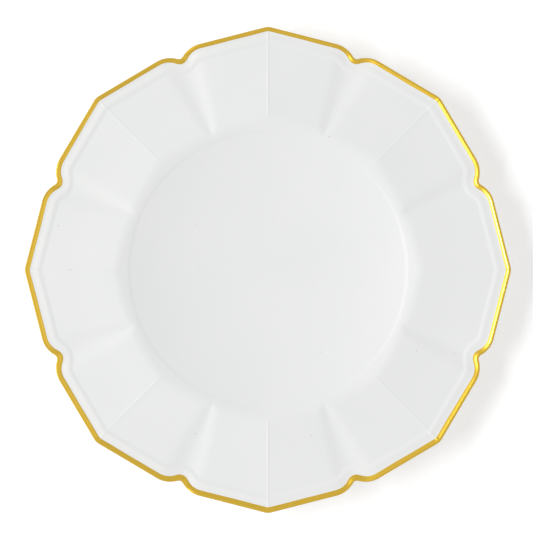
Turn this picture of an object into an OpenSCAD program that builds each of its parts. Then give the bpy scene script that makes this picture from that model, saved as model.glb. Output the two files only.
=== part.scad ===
// China dinner plate with a gilt edge: an eight-lobed outline, a faceted rim, a hollow well and a foot ring.
// The plate stands on the plane z = 0, its middle is on the Z axis and one lobe's point is on +X.

/* [Outline] */
// Diameter across two opposite points
plate_d = 270; // [225:1:330]
// Rounding of each point, seen from above
point_r = 8.5; // [4:0.5:12]
// Angle by which each straight side leans away from the lobe's middle line
side_turn = 14.2; // [12:0.1:16]
// Radius of the shoulder that ends each straight side
shoulder_r = 14.3; // [12:0.1:17]
// How far a notch's bottom lies inside the circle through the points
notch_depth = 7.8; // [6.5:0.1:9.5]
// Fillet at the bottom of a notch
notch_r = 2.6; // [1.5:0.1:4]

/* [Well] */
// Radius of the floor, up to the small riser that rings it
floor_r = 76.2; // [60:0.1:80]
// Rise of the hollow floor from its middle to its edge
floor_sag = 8.2; // [5:0.1:10]
// How late the floor turns up: 2 is a parabola, and more keeps the middle flatter
floor_power = 2.5; // [2:0.1:3]
// Height of the riser around the floor
riser_h = 0.22; // [0.1:0.01:0.5]
// Width of the riser
riser_w = 2.4; // [1:0.1:3]
// Rise of the wall for each millimetre outwards
wall_slope = 0.247; // [0.2:0.001:0.35]
// Radius of the verge, where the wall turns into the rim, measured at a crease
verge_r = 84.8; // [83:0.1:100]
// Softness of the turn at the verge
verge_soft = 0.6; // [0.3:0.1:1.2]

/* [Rim] */
// Distance from the middle at which the rim starts to curl up
curl_r = 98; // [88:1:105]
// Width over which the curl steepens to its full slope
curl_w = 13; // [6:0.5:16]
// Rise of the curl for each millimetre outwards at its full slope
curl_slope = 0.058; // [0.02:0.001:0.08]
// Fall of a facet for each millimetre away from its crease, where it is steepest
facet_fall = 0.042; // [0.02:0.001:0.06]
// Radius at which the flutes start
flute_start_r = 79; // [78:1:90]
// Half the width of a flute at its notch
flute_half_w = 10.7; // [8:0.1:13]
// Steepness of a flute's sides, on top of the facets' fall
flute_slope = 0.155; // [0.05:0.005:0.2]
// Half the width of a flute's rounded bottom at its notch
flute_soft = 6.6; // [2:0.1:8]

/* [Border] */
// Distance from the edge to the middle of the moulded step
step_inset = 8.1; // [7.5:0.1:9.5]
// Width of the moulded step
step_w = 3.1; // [2:0.1:4]
// Height of the moulded step
step_h = 0.52; // [0.2:0.01:0.8]
// Width of the lip, which flares up to the edge
lip_w = 4.6; // [4:0.1:5]
// Tilt of the flare where it meets the crown
lip_tilt = 24; // [15:1:32]
// Radius of the broad crown along the top of the edge
crown_r = 2.25; // [1.5:0.05:3]
// Tilt to which the crown falls away outwards
crown_fall = 8; // [0:1:20]
// Radius of the small outer corner
edge_r = 0.4; // [0.35:0.05:0.8]
// Radius of the arc under the edge
under_r = 1.2; // [0.8:0.05:1.4]
// Width of the gold on the face, measured in from the edge
gold_face_w = 2.9; // [2.4:0.1:3.6]
// Width of the gold on the back, measured in from the edge
gold_back_w = 2; // [1.8:0.1:3]

/* [Back and foot] */
// Thickness of the floor and the wall
floor_t = 4.7; // [3.5:0.1:6]
// Thickness of the rim
rim_t = 3.9; // [3.1:0.1:4.8]
// Width over which the back thins towards the edge
taper_w = 14; // [11:0.5:20]
// Gap between the table and the middle of the underside
underside_gap = 2; // [1:0.1:3]
// Radius of the middle of the foot ring
foot_r = 61; // [50:0.5:70]
// Width of the foot ring's flat bottom
foot_w = 3.6; // [3:0.1:5]
// Width of the foot ring where it meets the back
foot_root_w = 8.6; // [7:0.1:11]
// Height of the unglazed strip at the bottom of the foot ring
bare_h = 1.5; // [1:0.1:2]

/* [Coats] */
// Thickness of the glaze and of the gilding, drawn thick enough to be solids
coat_t = 0.25; // [0.2:0.01:0.3]

/* [Hidden] */

LOBES = 8;
half_lobe = 180 / LOBES;
// Places of the columns between a lobe's point and its notch, closer together at the shoulder and the notch
COLUMN_SHARES = [0, 0.27, 0.53, 0.75, 0.86, 0.945, 1];
STEPS = len(COLUMN_SHARES) - 1;
// How far the ground contact ring stands in from the foot's sides, and how high it is
contact_inset = 0.4;
contact_h = 0.4;

// The outline in one half of a lobe: x runs towards the notch and y along the lobe's middle line
side_normal = [sin(side_turn), cos(side_turn)];
side_run = [cos(side_turn), -sin(side_turn)];
point_centre = [0, plate_d / 2 - point_r];
apothem = point_centre.y * cos(side_turn) + point_r;
notch_axis = [sin(half_lobe), cos(half_lobe)];
notch_centre = notch_axis * (plate_d / 2 - notch_depth + notch_r);
// The shoulder's circle touches the side and the notch's fillet: its centre runs along a line beside the side
// until it is the sum of both radii away from the notch's centre
shoulder_line = side_normal * (apothem - shoulder_r);
from_notch = shoulder_line - notch_centre;
back_off = side_run * from_notch;
gap = from_notch * from_notch - pow(shoulder_r + notch_r, 2);
shoulder_centre = shoulder_line - side_run * (back_off + sqrt(back_off * back_off - gap));
to_fillet = notch_centre - shoulder_centre;
shoulder_end = atan2(to_fillet.x, to_fillet.y);

// Polar angle of a point in the half lobe's frame, from the lobe's middle line
function polar(p) = atan2(p.x, p.y);
function unit(turn) = [sin(turn), cos(turn)];

// Where a ray at angle q crosses a circle: far side for +1, near side for -1
function cross_circle(q, centre, r, side) =
    let (e = unit(q), along = centre * e, across = centre.x * e.y - centre.y * e.x)
    along + side * sqrt(max(0, r * r - across * across));

// Radius of the outline, moved inwards by inset, at the angle q from the lobe's middle line
function inset_radius(q, inset) =
    let (
        point_left = max(0, point_r - inset),
        side_start = polar(point_centre + side_normal * point_left),
        side_stop = polar(shoulder_centre + side_normal * (shoulder_r - inset)),
        fillet_start = polar(shoulder_centre + unit(shoulder_end) * (shoulder_r - inset))
    )
    inset < point_r && q < side_start ? cross_circle(q, point_centre, point_left, 1)
    : q < side_stop ? (apothem - inset) / cos(q - side_turn)
    : q < fillet_start ? cross_circle(q, shoulder_centre, shoulder_r - inset, 1)
    : cross_circle(q, notch_centre, notch_r + inset, -1);

function clamp01(t) = min(1, max(0, t));
function ease(t) = let (c = clamp01(t)) c * c * (3 - 2 * c);
// Smaller of two heights, with the corner between them eased over soft
function soft_min(a, b, soft) = let (k = max(soft - abs(a - b), 0)) min(a, b) - k * k / (4 * soft);

// Height of the hollow floor and the wall above it, carried on outwards as a cone
floor_z = underside_gap + floor_t;
function well_z(r) =
    floor_z
    + (r < floor_r ? floor_sag * pow(r / floor_r, floor_power) : floor_sag + wall_slope * (r - floor_r))
    + riser_h * ease((r - floor_r) / riser_w);

// Depth of a flute's trough under the facets. It opens quickly at first, and its sides meet in a parabola that
// widens from nothing at the verge.
FLUTE_OPENING = 0.46;
notch_bottom_r = plate_d / 2 - notch_depth;
function flute_depth(q, r) =
    let (
        run = max(0, r - flute_start_r) / (notch_bottom_r - flute_start_r),
        soft = flute_soft * run + 0.01,
        from_middle = r * sin(half_lobe - q),
        across = from_middle < soft ? (pow(from_middle, 2) / soft + soft) / 2 : from_middle
    )
    flute_slope * max(0, flute_half_w * pow(run, FLUTE_OPENING) - across);

// Fall of a facet from its crease, which levels out to half its slope at the flutes
function fall(q, r) = facet_fall * r * sin(q) * (1 - sin(q) / (2 * sin(half_lobe)));

// Height that the curl adds: a parabola up to its full slope, then straight on to the moulded step
function curl(q, r) =
    let (beyond = max(0, min(r * cos(q - side_turn), apothem - step_inset) - curl_r))
    curl_slope * (beyond < curl_w ? pow(beyond, 2) / (2 * curl_w) : beyond - curl_w / 2);

// Height of the facets and the flutes: the crease at q = 0 is their ridge
function rim_z(q, r) = well_z(verge_r) + curl(q, r) - fall(q, r) - flute_depth(q, r);

// Height of the face before the border's moulding is added
function face_z(q, r) = soft_min(well_z(r), rim_z(q, r), verge_soft);

// Radius of the verge at the angle q, pulled in where the facets fall
function verge(q) = verge_r - fall(q, verge_r) / wall_slope;

// The step and the flare of the lip, as a height above the facets, then the centres of the nose's arcs above the
// step, each on the end normal of the arc before it
crown_inset = edge_r + (crown_r - edge_r) * sin(crown_fall);
flare_end = crown_inset + crown_r * sin(lip_tilt);
flare_h = (lip_w - flare_end) * tan(lip_tilt) / 2;
crown_z = flare_h - crown_r * cos(lip_tilt);
edge_z = crown_z + (crown_r - edge_r) * cos(crown_fall);
function step_rise(inset) = step_h * ease((step_inset + step_w / 2 - inset) / step_w);
function flare_share(inset) = clamp01((lip_w - inset) / (lip_w - flare_end));

// A point of a section is [radius, height] for the column at angle q. Depth is how far the point lies under the
// finished surface: 0 on the glaze or the gold, coat_t on the clay.

// Face of the floor, wall and rim at radius r
function on_face(q, r, depth) = [r, face_z(q, r) - depth];

// Face of the border at an inset from the outline
function on_border(q, inset, depth) =
    let (
        tilt = atan(tan(lip_tilt) * flare_share(inset)),
        r = inset_radius(q, inset - depth * sin(tilt))
    )
    [r, face_z(q, r) + step_rise(inset) + flare_h * pow(flare_share(inset), 2) - depth * cos(tilt)];

// Nose, where the tilt of its surface runs from the flare's over 0 on the crown and -90 at the edge to -180 on
// the back. Each arc is [radius, inset of its centre, height of its centre].
CROWN = [crown_r, crown_inset, crown_z];
CORNER = [edge_r, edge_r, edge_z];
UNDER = [under_r, under_r, edge_z];
function on_nose(q, tilt, depth) =
    let (
        arc = tilt > -crown_fall ? CROWN : tilt > -90 ? CORNER : UNDER,
        left = arc[0] - depth,
        r = inset_radius(q, arc[1] + left * sin(tilt))
    )
    [r, face_z(q, r) + step_h + arc[2] + left * cos(tilt)];

// Back of the rim near the edge, thinning towards the nose
edge_t = under_r - edge_z - step_h;
function border_t(inset) = edge_t + (rim_t - edge_t) * ease((inset - under_r) / (taper_w - under_r));
function on_back_border(q, inset, depth) =
    let (r = inset_radius(q, inset))
    [r, face_z(q, r) - border_t(inset) + depth];

// Back of the rim and the wall at radius r, thickening towards the floor
function back_t(r) = rim_t + (floor_t - rim_t) * ease((curl_r - r) / (curl_r - floor_r));
function on_back(q, r, depth) = [r, face_z(q, r) - back_t(r) + depth];

// Side of the foot ring, outer for side = 1 and inner for side = -1. Share runs from the contact ring's
// plane to the root, where the foot meets the back.
function root_z(side) =
    let (r = foot_r + side * foot_root_w / 2)
    face_z(0, r) - back_t(r);
function on_foot(side, share, depth) =
    let (half_w = foot_w / 2 + (foot_root_w - foot_w) / 2 * share)
    [foot_r + side * (half_w - depth), contact_h + (root_z(side) - contact_h) * share + depth * ease(share)];
function bare_share(side) = (bare_h - contact_h) / (root_z(side) - contact_h);

// Sections of each surface: inwards to outwards on the face, and outwards to inwards on the back
FLOOR_RINGS = [18, 34, 48, 60, 70];
RIM_RINGS = [curl_r, curl_r + 10];
NOSE_TILTS = [lip_tilt, 0, -crown_fall, -49, -90, -135, -180];
UNDERSIDE_RINGS = [44, 24];
VERGE_BAND = 2.2;
step_start = step_inset + step_w / 2;
function face_section(q, depth) = concat(
    [for (r = concat(FLOOR_RINGS, [floor_r, floor_r + riser_w])) on_face(q, r, depth)],
    [for (side = [-VERGE_BAND, VERGE_BAND]) on_face(q, verge(q) + side, depth)],
    [for (r = RIM_RINGS) on_face(q, r, depth)],
    [for (inset = [step_start + 1, step_start - step_w / 4, step_start - step_w * 3 / 4, lip_w, gold_face_w])
        on_border(q, inset, depth)]
);
function nose_section(q, depth) =
    [for (tilt = NOSE_TILTS) on_nose(q, tilt, depth)];
function back_section(q, depth) = concat(
    [for (inset = [gold_back_w, lip_w, step_start]) on_back_border(q, inset, depth)],
    [for (r = [RIM_RINGS[1], RIM_RINGS[0]]) on_back(q, r, depth)],
    [for (side = [VERGE_BAND, -VERGE_BAND]) on_back(q, verge(q) + side, depth)],
    [on_back(q, max(floor_r, foot_r + foot_root_w / 2 + 1), depth)],
    [for (share = [1, bare_share(1)]) on_foot(1, share, depth)]
);
function underside_section(q, depth) = concat(
    [for (share = [bare_share(-1), 1]) on_foot(-1, share, depth)],
    [for (r = UNDERSIDE_RINGS) on_back(q, r, depth)]
);

// Columns around the plate, each [turn around the plate, angle q from its lobe's middle line]
columns = [
    for (lobe = [0:LOBES - 1], i = [0:2 * STEPS - 1])
        let (share = i <= STEPS ? COLUMN_SHARES[i] : COLUMN_SHARES[2 * STEPS - i])
        [(2 * lobe + (i <= STEPS ? share : 2 - share)) * half_lobe, share * half_lobe]
];

// Solid skinned over one section for each column. With poles the section runs from the axis at poles[0] to the
// axis at poles[1], and without them it closes on itself. Each strip is cut from its outer point in one column
// to its inner point in the next, whichever way the section runs, so that touching skins fit without gaps.
module skin(sections, poles = []) {
    count = len(sections);
    n = len(sections[0]);
    is_open = len(poles) == 2;
    points = concat(
        [for (j = [0:count - 1], p = sections[j]) [p.x * cos(columns[j][0]), p.x * sin(columns[j][0]), p.y]],
        [for (z = poles) [0, 0, z]]
    );
    strips = [
        for (j = [0:count - 1], i = [0:n - (is_open ? 2 : 1)])
            let (here = j * n, next = (j + 1) % count * n, after = (i + 1) % n)
            each sections[j][after].x < sections[j][i].x
                ? [[here + i, next + i, next + after], [here + i, next + after, here + after]]
                : [[here + i, next + i, here + after], [next + i, next + after, here + after]]
    ];
    caps = [
        for (j = [0:count - 1])
            let (here = j * n, next = (j + 1) % count * n, top = count * n)
            each is_open ? [[top, next, here], [here + n - 1, next + n - 1, top + 1]] : []
    ];
    polyhedron(points = points, faces = concat(strips, caps));
}

function backwards(list) = [for (i = [len(list) - 1:-1:0]) list[i]];

// The pressed clay: floor, wall, rim and foot ring, with a turned contact ring to stand on
module porcelain_body() color("#eceeed") {
    skin(
        [for (c = columns) concat(
            face_section(c[1], coat_t),
            nose_section(c[1], coat_t),
            back_section(c[1], coat_t),
            [on_foot(1, 0, coat_t), on_foot(-1, 0, coat_t)],
            underside_section(c[1], coat_t)
        )],
        [floor_z - coat_t, underside_gap + coat_t]
    );
    contact_w = foot_w - 2 * (coat_t + contact_inset);
    rotate_extrude($fn = 180)
        translate([foot_r - contact_w / 2, 0]) square([contact_w, contact_h * 2]);
}

// Glaze on the face, from the middle of the floor to the gold line
module face_glaze() color("#f2f3f2")
    skin(
        [for (c = columns) concat(face_section(c[1], 0), backwards(face_section(c[1], coat_t)))],
        [floor_z, floor_z - coat_t]
    );

// Glaze on the back, from the gold line to the bare strip on the foot's outer side
module back_glaze() color("#eef0ef")
    skin([for (c = columns) concat(back_section(c[1], 0), backwards(back_section(c[1], coat_t)))]);

// Glaze on the underside within the foot ring, down to the bare strip on its inner side
module foot_well_glaze() color("#e9ebea")
    skin(
        [for (c = columns) concat(backwards(underside_section(c[1], coat_t)), underside_section(c[1], 0))],
        [underside_gap + coat_t, underside_gap]
    );

// Fired gold around the nose, between the glaze on the face and the glaze on the back
module gilt_edge() color("#d4a93c")
    skin([for (c = columns)
        let (
            outer = concat([on_border(c[1], gold_face_w, 0)], nose_section(c[1], 0),
                [on_back_border(c[1], gold_back_w, 0)]),
            inner = concat([on_border(c[1], gold_face_w, coat_t)], nose_section(c[1], coat_t),
                [on_back_border(c[1], gold_back_w, coat_t)])
        )
        concat(outer, backwards(inner))
    ]);

porcelain_body();
face_glaze();
back_glaze();
foot_well_glaze();
gilt_edge();
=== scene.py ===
import bpy
import numpy as np
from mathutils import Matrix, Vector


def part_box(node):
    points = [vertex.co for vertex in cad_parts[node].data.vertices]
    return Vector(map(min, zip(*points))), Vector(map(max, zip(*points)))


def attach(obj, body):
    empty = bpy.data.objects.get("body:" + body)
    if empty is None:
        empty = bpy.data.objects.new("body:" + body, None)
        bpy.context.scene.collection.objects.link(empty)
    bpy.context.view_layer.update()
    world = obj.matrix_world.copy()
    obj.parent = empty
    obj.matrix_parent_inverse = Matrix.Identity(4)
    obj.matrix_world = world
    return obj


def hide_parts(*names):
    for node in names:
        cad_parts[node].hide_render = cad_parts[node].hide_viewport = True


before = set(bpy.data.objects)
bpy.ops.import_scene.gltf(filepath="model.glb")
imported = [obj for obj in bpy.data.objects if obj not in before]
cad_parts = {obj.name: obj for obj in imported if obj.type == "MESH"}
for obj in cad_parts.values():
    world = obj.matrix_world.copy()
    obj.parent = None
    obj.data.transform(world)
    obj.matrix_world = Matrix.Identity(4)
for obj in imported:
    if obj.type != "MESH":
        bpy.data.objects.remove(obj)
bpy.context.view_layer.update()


# --- Porcelain body -------------------------------------------------------------------------------------
# White porcelain clay pressed in one piece: a hollow well, a wall, a rim of sixteen flat facets and a foot
# ring. It is fired, coated and fired again, so the bare clay shows only where the foot ring was wiped clean
# to stand in the kiln. Lengths are in millimetres until a mesh is made.
MM = 0.001
LOBES = 8
HALF_LOBE = np.pi / LOBES
BODY_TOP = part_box("porcelain_body")[1] / MM
GILT_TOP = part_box("gilt_edge")[1] / MM
PLATE_R = GILT_TOP.x
COAT = PLATE_R - BODY_TOP.x

# Outline: a rounded point, a straight side, a shoulder and a notch, mirrored from lobe to lobe
POINT_R = 8.5
SIDE_TURN = np.radians(14.2)
SHOULDER_R = 14.3
NOTCH_D = 7.8
NOTCH_BOTTOM_R = PLATE_R - NOTCH_D
NOTCH_R = 2.6
# Well, verge and rim
UNDERSIDE_GAP = 2
FLOOR_T = 4.7
FLOOR_Z = UNDERSIDE_GAP + FLOOR_T
FLOOR_R = 76.2
FLOOR_SAG = 8.2
FLOOR_POWER = 2.5
RISER_H = 0.22
RISER_W = 2.4
WALL_SLOPE = 0.247
VERGE_R = 84.8
VERGE_SOFT = 0.6
CURL_R = 98
CURL_W = 13
CURL_SLOPE = 0.058
FACET_FALL = 0.042
CREASE_SOFT = 0.3
BEAD_HALF_W = 0.8
BEAD_H = 0.15
FLUTE_START_R = 79
FLUTE_HALF_W = 10.7
FLUTE_SLOPE = 0.155
FLUTE_SOFT = 6.6
FLUTE_SOFT_MIN = 0.01
FLUTE_OPENING = 0.46
FLUTE_BRINK = 0.8
# Border: a moulded step, then a lip that flares up to a rounded nose
STEP_INSET = 8.1
STEP_W = 3.1
STEP_H = 0.52
LIP_W = 4.6
LIP_TILT = np.radians(24)
CROWN_R = 2.25
CROWN_FALL = np.radians(8)
EDGE_R = 0.4
CORNER_CUT = np.radians(-62)
CROWN_INSET = EDGE_R + (CROWN_R - EDGE_R) * np.sin(CROWN_FALL)
UNDER_R = 1.2
# Gold line: its inset on the face and the back, and how the brush strays from the first: less all round, more
# in the notches, more to one side, and slow wavers, each a size, a count around the plate and a phase
GOLD_FACE_W = 2.9
GOLD_BACK_W = 2.0
GOLD_LESS = 0.1
GOLD_CORNER = 0.45
GOLD_CORNER_REACH = 5
GOLD_SIDE = 0.35
WAVERS = [(0.05, 7, 1), (0.04, 19, 2), (0.03, 43, 0)]
# Back and foot ring
RIM_T = 3.9
TAPER_W = 14
FOOT_R = 61
FOOT_W = 3.6
FOOT_ROOT_W = 8.6
BARE_H = 1.5
CONTACT_H = 0.4
CONTACT_INSET = 0.4


def turned(angle):
    """Unit vector at an angle from the lobe's middle line, as [across towards the notch, along the line]."""
    return np.array([np.sin(angle), np.cos(angle)])


POINT_CENTRE = np.array([0, PLATE_R - POINT_R])
APOTHEM = POINT_CENTRE[1] * np.cos(SIDE_TURN) + POINT_R
NOTCH_CENTRE = turned(HALF_LOBE) * (NOTCH_BOTTOM_R + NOTCH_R)
SIDE_RUN = np.array([np.cos(SIDE_TURN), -np.sin(SIDE_TURN)])
SHOULDER_LINE = turned(SIDE_TURN) * (APOTHEM - SHOULDER_R)
from_notch = SHOULDER_LINE - NOTCH_CENTRE
back_off = SIDE_RUN @ from_notch
tangent_gap = from_notch @ from_notch - (SHOULDER_R + NOTCH_R) ** 2
SHOULDER_CENTRE = SHOULDER_LINE - SIDE_RUN * (back_off + np.sqrt(back_off**2 - tangent_gap))
SHOULDER_END = np.arctan2(*(NOTCH_CENTRE - SHOULDER_CENTRE))


def ray_to_circle(q, centre, r, side):
    """Distance along the ray at angle q to a circle: the centre's distance along the ray, plus or minus half
    the chord that the circle cuts from it."""
    along = centre[0] * np.sin(q) + centre[1] * np.cos(q)
    across = centre[0] * np.cos(q) - centre[1] * np.sin(q)
    return along + side * np.sqrt(np.maximum(0, r * r - across * across))


def outline(q, inset):
    """Radius of the plate's outline moved inwards by inset. Each arc and the side keep their centre or their
    normal, so the moved outline is a true parallel curve, and the ray at angle q meets just one of them."""
    point_left = np.maximum(0, POINT_R - inset)
    side_start = np.arctan2(point_left * np.sin(SIDE_TURN), POINT_CENTRE[1] + point_left * np.cos(SIDE_TURN))
    shoulder_left = SHOULDER_R - inset

    def leaves(normal_angle):
        offset = turned(normal_angle)
        return np.arctan2(
            SHOULDER_CENTRE[0] + offset[0] * shoulder_left, SHOULDER_CENTRE[1] + offset[1] * shoulder_left
        )

    return np.select(
        [(inset < POINT_R) & (q < side_start), q < leaves(SIDE_TURN), q < leaves(SHOULDER_END)],
        [
            ray_to_circle(q, POINT_CENTRE, point_left, 1),
            (APOTHEM - inset) / np.cos(q - SIDE_TURN),
            ray_to_circle(q, SHOULDER_CENTRE, shoulder_left, 1),
        ],
        ray_to_circle(q, NOTCH_CENTRE, NOTCH_R + inset, -1),
    )


def ease(t):
    """Smooth step from 0 to 1: three t squared less two t cubed, held at its ends."""
    t = np.clip(t, 0, 1)
    return t * t * (3 - 2 * t)


def well_z(r):
    """Height of the well: a power curve across the floor, then a cone up the wall, and the riser's smooth
    step."""
    floor = FLOOR_SAG * (r / FLOOR_R) ** FLOOR_POWER
    wall = FLOOR_SAG + WALL_SLOPE * (r - FLOOR_R)
    return FLOOR_Z + np.where(r < FLOOR_R, floor, wall) + RISER_H * ease((r - FLOOR_R) / RISER_W)


def flute_depth(q, r):
    """Depth of a flute: straight sides that meet in a parabola, whose half width grows evenly with the
    distance run from the verge. The flute's own half width grows with a power of that distance. The brink at
    each side is a hyperbola, which has its full size from a quarter of the run on."""
    run = np.maximum(0, r - FLUTE_START_R) / (NOTCH_BOTTOM_R - FLUTE_START_R)
    soft = FLUTE_SOFT * run + FLUTE_SOFT_MIN
    across = r * np.sin(HALF_LOBE - q)
    across = np.where(across < soft, (across**2 / soft + soft) / 2, across)
    room = FLUTE_HALF_W * run**FLUTE_OPENING - across
    return FLUTE_SLOPE * 0.5 * (room + np.hypot(room, FLUTE_BRINK * np.minimum(1, 2 * np.sqrt(run))))


def rim_z(q, r):
    """Height of the rim: level with the verge at a crease, curling up towards the straight side to a constant
    slope that stops at the step, and falling away from the crease with the distance across, at a slope that
    eases towards the notch, less the flute. A low bead runs along the crease and dies out on the lip."""
    beyond = np.maximum(0, np.minimum(r * np.cos(q - SIDE_TURN), APOTHEM - STEP_INSET) - CURL_R)
    curl = CURL_SLOPE * np.where(beyond < CURL_W, beyond**2 / (2 * CURL_W), beyond - CURL_W / 2)
    across = r * np.sin(q)
    bead = BEAD_H * (1 - ease(across / BEAD_HALF_W)) * ease((PLATE_R - CROWN_INSET - r) / GOLD_FACE_W)
    easing = 1 - np.sin(q) / (2 * np.sin(HALF_LOBE))
    fall = FACET_FALL * (np.hypot(across, CREASE_SOFT) - CREASE_SOFT) * easing
    return well_z(VERGE_R) + curl + bead - fall - flute_depth(q, r)


def face_z(q, r):
    """Height of the face without the border: the lower of the well and the rim, eased over their corner."""
    a, b = well_z(r), rim_z(q, r)
    near = np.maximum(VERGE_SOFT - np.abs(a - b), 0)
    return np.minimum(a, b) - near * near / (4 * VERGE_SOFT)


# Columns around the plate, crowded at each crease and each notch where the shape turns quickly
HALF_COLUMNS = 32
CROWDING = 0.85
share = np.arange(HALF_COLUMNS) / HALF_COLUMNS
share = share - CROWDING * np.sin(2 * np.pi * share) / (2 * np.pi)
half_turns = HALF_LOBE * np.concatenate([share, 2 - np.append(1, share[:0:-1])])
TURN = (np.arange(LOBES)[:, None] * 2 * HALF_LOBE + half_turns).ravel()
Q = np.abs(TURN - np.round(TURN / (2 * HALF_LOBE)) * 2 * HALF_LOBE)

# Insets and heights of the lip's arcs: each arc's centre lies on the next one's end normal
FLARE_END = CROWN_INSET + CROWN_R * np.sin(LIP_TILT)
FLARE_H = (LIP_W - FLARE_END) * np.tan(LIP_TILT) / 2
CROWN_Z = FLARE_H - CROWN_R * np.cos(LIP_TILT)
EDGE_Z = CROWN_Z + (CROWN_R - EDGE_R) * np.cos(CROWN_FALL)
EDGE_T = UNDER_R - EDGE_Z - STEP_H


def on_face(r, depth):
    """Section points [radius, height] on the face at radius r, one for each row and column."""
    r = r + 0 * Q
    return np.stack([r, face_z(Q, r) - depth], -1)


def gold_line():
    """Inset of the hand-brushed gold line for each column: wider in the notches, where the brush fills the
    corner in a bell curve, and towards one side by the sine of the turn, with a sum of slow sine wavers."""
    corner = np.exp(-(((HALF_LOBE - Q) * NOTCH_BOTTOM_R / GOLD_CORNER_REACH) ** 2))
    waver = sum(size * np.sin(count * TURN + phase) for size, count, phase in WAVERS)
    return GOLD_FACE_W - GOLD_LESS + GOLD_CORNER * corner - GOLD_SIDE * np.sin(TURN) + waver


def on_border(inset, depth):
    """Section points on the border: the face plus the step's smooth rise and the flare, which steepens evenly
    up to the nose. Depth is taken square to the flare."""
    flare = np.clip((LIP_W - inset) / (LIP_W - FLARE_END), 0, 1)
    tilt = np.arctan(np.tan(LIP_TILT) * flare)
    r = outline(Q, inset - depth * np.sin(tilt))
    step = STEP_H * ease((STEP_INSET + STEP_W / 2 - inset) / STEP_W)
    return np.stack([r, face_z(Q, r) + step + FLARE_H * flare**2 - depth * np.cos(tilt)], -1)


def on_nose(arc_r, centre_inset, centre_z, tilt, depth):
    """Section points on one of the lip's arcs: about the arc's centre, at a tilt from the vertical."""
    left = arc_r - depth
    r = outline(Q, centre_inset + left * np.sin(tilt))
    return np.stack([r, face_z(Q, r) + STEP_H + centre_z + left * np.cos(tilt)], -1)


def on_back_border(inset, depth):
    """Section points on the back near the edge: the face less a thickness that eases from the nose's to the
    rim's."""
    r = outline(Q, inset)
    thick = EDGE_T + (RIM_T - EDGE_T) * ease((inset - UNDER_R) / (TAPER_W - UNDER_R))
    return np.stack([r, face_z(Q, r) - thick + depth], -1)


def back_t(r):
    """Thickness behind radius r, easing from the rim's to the floor's."""
    return RIM_T + (FLOOR_T - RIM_T) * ease((CURL_R - r) / (CURL_R - FLOOR_R))


def on_back(r, depth):
    """Section points on the back at radius r."""
    r = r + 0 * Q
    return np.stack([r, face_z(Q, r) - back_t(r) + depth], -1)


def on_foot(side, rise, depth):
    """Section points on a side of the foot ring (outer for 1, inner for -1): a straight line from the contact
    ring's plane at rise 0 to the root in the back at rise 1."""
    root_r = FOOT_R + side * FOOT_ROOT_W / 2
    root_z = well_z(root_r) - back_t(root_r)
    half_w = FOOT_W / 2 + (FOOT_ROOT_W - FOOT_W) / 2 * rise
    r = FOOT_R + side * (half_w - depth) + 0 * Q
    return np.stack([r, CONTACT_H + (root_z - CONTACT_H) * rise + depth * ease(rise) + 0 * Q], -1)


def bare_rise(side):
    """Where the glaze stops on a side of the foot, as a share of the way from its bottom to its root."""
    root_r = FOOT_R + side * FOOT_ROOT_W / 2
    return (BARE_H - CONTACT_H) / (well_z(root_r) - back_t(root_r) - CONTACT_H)


def rows(*stretches):
    """Row places as a column: each stretch (start, stop, count) is evenly spaced and stops short of its end,
    and a single number is one row."""
    parts = [np.linspace(s[0], s[1], s[2], endpoint=False) if np.ndim(s) else [s] for s in stretches]
    return np.concatenate(parts)[:, None]


def to_border(start_r, inset, count):
    """Radii from a circle out to the outline moved in by inset, evenly shared out along each column."""
    shares = np.linspace(0, 1, count, endpoint=False)[:, None]
    return start_r + (outline(Q, inset) - start_r) * shares


# Where the border's rows start, a little clear of the step, and the stretch of close rows over the riser and
# the verge. The back's rows keep clear of the foot's root, and the innermost row is a small circle.
BORDER_START = STEP_INSET + STEP_W / 2 + 1
BAND_IN = FLOOR_R - 1.5
BAND_OUT = VERGE_R + 4
ROOT_CLEAR = FOOT_ROOT_W / 2 + 0.6
HUB_R = 4


def face_rows(depth, fine):
    """Section of the face from the middle of the floor to the gold line, with its rows close together over
    the riser, the verge, the step and the flare."""
    n = 4 if fine else 1
    return np.concatenate([
        on_face(rows((HUB_R, BAND_IN, 5 * n)), depth),
        on_face(rows((BAND_IN, BAND_OUT, 12 * n)), depth),
        on_face(to_border(BAND_OUT, BORDER_START, 3 * n), depth),
        on_border(BORDER_START + (gold_line() - BORDER_START) * rows((0, 1, 8 * n), 1), depth),
    ])


def nose_rows(depth, n):
    """Section of the nose from the end of the flare: over the broad crown, down the small outer corner, which
    is cut in two flats, and under the edge to the back."""
    quarter = np.pi / 2
    return np.concatenate([
        on_nose(CROWN_R, CROWN_INSET, CROWN_Z, rows((LIP_TILT, -CROWN_FALL, 3 * n)), depth),
        on_nose(EDGE_R, EDGE_R, EDGE_Z, rows(-CROWN_FALL, CORNER_CUT), depth),
        on_nose(UNDER_R, UNDER_R, EDGE_Z, rows((-quarter, -np.pi, 3 * n), -np.pi), depth),
    ])


def back_rows(depth, n):
    """Section of the back from the gold line to the foot ring's bare strip."""
    return np.concatenate([
        on_back_border(rows((GOLD_BACK_W, BORDER_START, 3 * n)), depth),
        on_back(to_border(BAND_OUT, BORDER_START, 3 * n)[:0:-1], depth),
        on_back(rows((BAND_OUT, BAND_IN, 6 * n), (BAND_IN, FOOT_R + ROOT_CLEAR, 2 * n)), depth),
        on_foot(1, rows((1, bare_rise(1), 2 * n), bare_rise(1)), depth),
    ])


def underside_rows(depth, n):
    """Section of the underside from the bare strip within the foot ring to the middle."""
    return np.concatenate([
        on_foot(-1, rows((bare_rise(-1), 1, 2 * n), 1), depth),
        on_back(rows((FOOT_R - ROOT_CLEAR, HUB_R, 4 * n), HUB_R), depth),
    ])


SHARP_TURN = np.radians(24)


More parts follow.
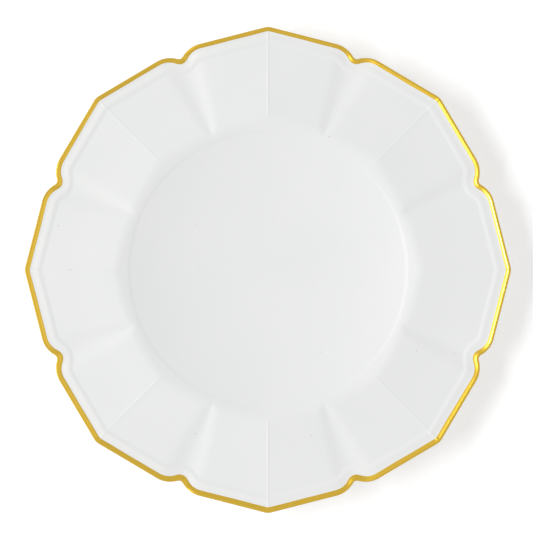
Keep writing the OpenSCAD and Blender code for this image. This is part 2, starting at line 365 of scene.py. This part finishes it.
def lathe(name, section, poles=()):
    """New mesh object skinned over a section for each column: the point at [radius r, height z] goes to
    (r cos turn, r sin turn, z). With poles the section runs from the axis at one height to the axis at the
    other, and without them it closes on itself. Every face is listed so that it points outwards. It is shaded
    smooth, but for edges that turn more than a set angle."""
    count, columns = section.shape[:2]
    r, z = section[..., 0], section[..., 1]
    points = np.stack([r * np.cos(TURN), r * np.sin(TURN), z], -1).reshape(-1, 3)
    points = np.concatenate([points, [[0, 0, height] for height in poles]]) if len(poles) else points
    i = np.arange(count - 1 if len(poles) else count)[:, None]
    j = np.arange(columns)
    after, beside = (i + 1) % count, (j + 1) % columns
    corners = [i * columns + j, after * columns + j, after * columns + beside, i * columns + beside]
    faces = np.stack(corners, -1).reshape(-1, 4).tolist()
    if len(poles):
        top, bottom = count * columns, count * columns + 1
        last = (count - 1) * columns
        faces += np.stack([0 * j + top, j, beside], -1).tolist()
        faces += np.stack([last + j, 0 * j + bottom, last + beside], -1).tolist()
    mesh = bpy.data.meshes.new(name)
    mesh.from_pydata(points * MM, [], faces)
    mesh.shade_smooth()
    mesh.set_sharp_from_angle(angle=SHARP_TURN)
    piece = bpy.data.objects.new(name, mesh)
    bpy.context.scene.collection.objects.link(piece)
    return piece


def linear(hex_colour):
    """sRGB hex colour as linear RGB with alpha, by the sRGB curve."""
    c = np.array([int(hex_colour[k:k + 2], 16) for k in (1, 3, 5)]) / 255
    return (*np.where(c <= 0.04045, c / 12.92, ((c + 0.055) / 1.055) ** 2.4), 1.0)


# Places of a colour mix's sockets, whose names it shares with other kinds of mix: two colours and the result
MIX_A, MIX_B, MIX_RESULT = 6, 7, 2


def add_node(material, kind, settings=None, **links):
    """Adds one shader node: settings are its properties and constant sockets, links are sockets fed by
    others. A socket goes by its name, or by its place: a number in settings, and _number in links."""
    node = material.node_tree.nodes.new(kind)
    for key, value in (settings or {}).items():
        if isinstance(key, int) or key in node.inputs:
            node.inputs[key].default_value = value
        else:
            setattr(node, key, value)
    for key, source in links.items():
        socket = node.inputs[int(key[1:])] if key[0] == "_" else node.inputs[key.replace("_", " ")]
        material.node_tree.links.new(source, socket)
    return node


def new_material(name):
    """Empty node material with its output, and the output's surface socket."""
    material = bpy.data.materials.new(name)
    material.use_nodes = True
    material.node_tree.nodes.clear()
    output = material.node_tree.nodes.new("ShaderNodeOutputMaterial")
    return material, output.inputs["Surface"]


def bisque_porcelain():
    """Unglazed fired porcelain: slightly warm white, matt, with the fine tooth of ground clay of about
    0.1 mm, drawn at 0.3 mm so that it shows, and faint darker rubbing where it has slid on shelves."""
    material, surface = new_material("bisque_porcelain")
    place = add_node(material, "ShaderNodeTexCoord").outputs["Object"]
    grain = add_node(material, "ShaderNodeTexNoise", {"Scale": 1 / (0.3 * MM), "Detail": 3.0}, Vector=place)
    rubbing = add_node(material, "ShaderNodeTexNoise", {"Scale": 1 / (9 * MM), "Detail": 2.0}, Vector=place)
    colour = add_node(
        material, "ShaderNodeMix", {"data_type": "RGBA", MIX_A: linear("#ded9d0"), MIX_B: linear("#efebe3")},
        _0=rubbing.outputs["Fac"],
    )
    bump = add_node(
        material, "ShaderNodeBump", {"Strength": 0.25, "Distance": 0.02 * MM}, Height=grain.outputs["Fac"]
    )
    shader = add_node(
        material, "ShaderNodeBsdfPrincipled", {"Roughness": 0.75, "IOR": 1.5},
        Base_Color=colour.outputs[MIX_RESULT], Normal=bump.outputs["Normal"],
    )
    material.node_tree.links.new(shader.outputs["BSDF"], surface)
    return material


# The ground ring that the plate stands on, with a fine bevel, from its outer side to its inner
CONTACT_BEVEL = 0.08
contact_half = (FOOT_W - 2 * (COAT + CONTACT_INSET)) / 2 - np.array([0, 0, CONTACT_BEVEL])
contact_z = np.array([CONTACT_H, CONTACT_BEVEL, 0])
contact_ring = np.stack([
    FOOT_R + np.append(contact_half, -contact_half[::-1])[:, None] + 0 * Q,
    np.append(contact_z, contact_z[::-1])[:, None] + 0 * Q,
], -1)
body = lathe(
    "porcelain_body_form",
    np.concatenate([
        face_rows(COAT, False),
        nose_rows(COAT, 1),
        back_rows(COAT, 1),
        on_foot(1, rows(0), COAT),
        contact_ring,
        on_foot(-1, rows(0), COAT),
        underside_rows(COAT, 1),
    ]),
    poles=(FLOOR_Z - COAT, FLOOR_Z - FLOOR_T + COAT),
)
body.data.materials.append(bisque_porcelain())
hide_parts("porcelain_body")
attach(body, "root")


# --- Glaze on the face ----------------------------------------------------------------------------------
# A clear feldspar glaze, dipped and fused over the white clay to a satin gloss. It pools by hundredths of a
# millimetre, so reflections in it are soft and waver slightly.
def white_glaze():
    """Glazed porcelain: cool white from the clay seen through clear glass, a smooth satin skin, slow waves of
    about 14 mm from the dipping, and grey iron specks 0.4 mm across. A speck lies in each cell of a 24 mm
    mesh whose random grey is under a limit, which leaves a few on a plate."""
    material, surface = new_material("white_glaze")
    place = add_node(material, "ShaderNodeTexCoord").outputs["Object"]
    waves = add_node(material, "ShaderNodeTexNoise", {"Scale": 1 / (14 * MM), "Detail": 1.0}, Vector=place)
    bump = add_node(
        material, "ShaderNodeBump", {"Strength": 0.15, "Distance": 0.05 * MM}, Height=waves.outputs["Fac"]
    )
    tone = add_node(material, "ShaderNodeTexNoise", {"Scale": 1 / (45 * MM), "Detail": 2.0}, Vector=place)
    white = add_node(
        material, "ShaderNodeMix", {"data_type": "RGBA", MIX_A: linear("#eef0ef"), MIX_B: linear("#f3f4f3")},
        _0=tone.outputs["Fac"],
    )
    cell_w, speck_r, grey_limit = 24, 0.2, 0.22
    cells = add_node(
        material, "ShaderNodeTexVoronoi", {"voronoi_dimensions": "2D", "Scale": 1 / (cell_w * MM)},
        Vector=place,
    )
    in_speck = add_node(
        material, "ShaderNodeMath", {"operation": "LESS_THAN", 1: speck_r / cell_w},
        _0=cells.outputs["Distance"],
    )
    chosen = add_node(
        material, "ShaderNodeMath", {"operation": "LESS_THAN", 1: grey_limit}, _0=cells.outputs["Color"]
    )
    speck = add_node(
        material, "ShaderNodeMath", {"operation": "MULTIPLY"}, _0=in_speck.outputs[0], _1=chosen.outputs[0]
    )
    colour = add_node(
        material, "ShaderNodeMix", {"data_type": "RGBA", MIX_B: linear("#8d867c")},
        _0=speck.outputs[0], _6=white.outputs[MIX_RESULT],
    )
    shader = add_node(
        material, "ShaderNodeBsdfPrincipled", {"Roughness": 0.4, "IOR": 1.5},
        Base_Color=colour.outputs[MIX_RESULT], Normal=bump.outputs["Normal"],
    )
    material.node_tree.links.new(shader.outputs["BSDF"], surface)
    return material


glaze = white_glaze()
face = lathe(
    "face_glaze_skin",
    np.concatenate([face_rows(0, True), face_rows(COAT, False)[::-1]]),
    poles=(FLOOR_Z, FLOOR_Z - COAT),
)
face.data.materials.append(glaze)
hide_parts("face_glaze")
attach(face, "root")


# --- Glaze on the back ----------------------------------------------------------------------------------
# The same glaze behind the rim and the wall and down the foot ring's outer side, where it stops at the strip
# that was wiped clean before firing.
back = lathe("back_glaze_skin", np.concatenate([back_rows(0, 3), back_rows(COAT, 1)[::-1]]))
back.data.materials.append(glaze)
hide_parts("back_glaze")
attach(back, "root")


# --- Glaze within the foot ring -------------------------------------------------------------------------
# The same glaze on the underside within the foot ring, down to the bare strip on its inner side.
foot_well = lathe(
    "foot_well_glaze_skin",
    np.concatenate([underside_rows(COAT, 1)[::-1], underside_rows(0, 3)]),
    poles=(FLOOR_Z - FLOOR_T + COAT, FLOOR_Z - FLOOR_T),
)
foot_well.data.materials.append(glaze)
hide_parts("foot_well_glaze")
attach(foot_well, "root")


# --- Gilt edge ------------------------------------------------------------------------------------------
# Liquid bright gold, brushed around the flared lip by hand and fired on to the glaze. It lies over the nose
# from a line on the face to a line just behind the edge.
def fired_gold():
    """Bright fired gold: a metal film that takes the glaze's smoothness, a little deeper in colour where the
    brush left it thick, with brush ridges of about 0.4 mm. The clear coat whitens its glints, as bright ones
    look to the eye."""
    material, surface = new_material("fired_gold")
    place = add_node(material, "ShaderNodeTexCoord").outputs["Object"]
    film = add_node(material, "ShaderNodeTexNoise", {"Scale": 1 / (5 * MM), "Detail": 3.0}, Vector=place)
    ridges = add_node(material, "ShaderNodeTexNoise", {"Scale": 1 / (0.4 * MM), "Detail": 1.0}, Vector=place)
    colour = add_node(
        material, "ShaderNodeMix", {"data_type": "RGBA", MIX_A: linear("#f5c935"), MIX_B: linear("#ffd340")},
        _0=film.outputs["Fac"],
    )
    bump = add_node(
        material, "ShaderNodeBump", {"Strength": 0.1, "Distance": 0.01 * MM}, Height=ridges.outputs["Fac"]
    )
    shader = add_node(
        material, "ShaderNodeBsdfPrincipled",
        {"Metallic": 1.0, "Roughness": 0.18, "Coat Weight": 1.0, "Coat Roughness": 0.12},
        Base_Color=colour.outputs[MIX_RESULT], Normal=bump.outputs["Normal"],
    )
    material.node_tree.links.new(shader.outputs["BSDF"], surface)
    return material


def gold_rows(depth, n):
    """Section of the gold band from its line on the face over the nose to its line on the back."""
    return np.concatenate([
        on_border(gold_line() + (FLARE_END - gold_line()) * rows((0, 1, 3 * n)), depth),
        nose_rows(depth, 2 * n),
        on_back_border(rows((UNDER_R, GOLD_BACK_W, 2 * n), GOLD_BACK_W)[1:], depth),
    ])


gilt = lathe("gilt_edge_band", np.concatenate([gold_rows(0, 2), gold_rows(COAT, 1)[::-1]]))
gilt.data.materials.append(fired_gold())
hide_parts("gilt_edge")
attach(gilt, "root")


# --- Table, light and camera ----------------------------------------------------------------------------
# A plain white table, a large soft light to the left, a dim fill to the right and a long lens straight above.
# A strip light beside the large one shines on the gold alone, for the bright glint along the right-hand edge.
# Lengths here are in metres.
def paper_white():
    """Matt white table, lit a little from within, as a light table is."""
    material, surface = new_material("table_white")
    shader = add_node(
        material, "ShaderNodeBsdfPrincipled",
        {"Base Color": linear("#f4f4f4"), "Roughness": 0.9, "Emission Color": linear("#ffffff"),
         "Emission Strength": 0.25},
    )
    material.node_tree.links.new(shader.outputs["BSDF"], surface)
    return material


TABLE_HALF = 1.5
table_mesh = bpy.data.meshes.new("table")
table_corners = TABLE_HALF * np.array([(-1, -1, 0), (1, -1, 0), (1, 1, 0), (-1, 1, 0)])
table_mesh.from_pydata(table_corners, [], [(0, 1, 2, 3)])
table = bpy.data.objects.new("table", table_mesh)
bpy.context.scene.collection.objects.link(table)
table.data.materials.append(paper_white())


def soft_light(name, away, turn, width, length, power):
    """Area light as far up from the plate as it is away, turned about Z, aimed at the plate's middle. Its
    length lies level, and its power is in watts."""
    data = bpy.data.lights.new(name, "AREA")
    data.shape = "RECTANGLE"
    data.size = width
    data.size_y = length
    data.energy = power
    light = bpy.data.objects.new(name, data)
    light.location = (away * np.cos(turn), away * np.sin(turn), away)
    light.rotation_euler = (0, np.pi / 4, turn)
    bpy.context.scene.collection.objects.link(light)
    return light


soft_light("key_left", away=1.5, turn=np.pi, width=0.6, length=1.6, power=22)
strip = soft_light("strip_left", away=1.5, turn=np.radians(187), width=0.5, length=1.1, power=190)
gold_only = bpy.data.collections.new("gold_only")
gold_only.objects.link(gilt)
strip.light_linking.receiver_collection = gold_only
soft_light("fill_right", away=1.2, turn=0, width=1.4, length=1.4, power=1.2)

world = bpy.data.worlds.new("studio")
world.use_nodes = True
background = world.node_tree.nodes["Background"]
background.inputs["Color"].default_value = (1, 1, 1, 1)
background.inputs["Strength"].default_value = 0.59
bpy.context.scene.world = world
bpy.context.scene.view_settings.view_transform = "Standard"

# The view at the height of the edge is the plate's width and a tenth, from just beside its middle
VIEW_W = 2 * PLATE_R * 1.0962 * MM
CAMERA_AT = (-0.0008, 0.0019, 1.2)
camera_data = bpy.data.cameras.new("camera")
camera_data.lens = camera_data.sensor_width * (CAMERA_AT[2] - GILT_TOP.z * MM) / VIEW_W
camera = bpy.data.objects.new("camera", camera_data)
camera.location = CAMERA_AT
bpy.context.scene.collection.objects.link(camera)
bpy.context.scene.camera = camera
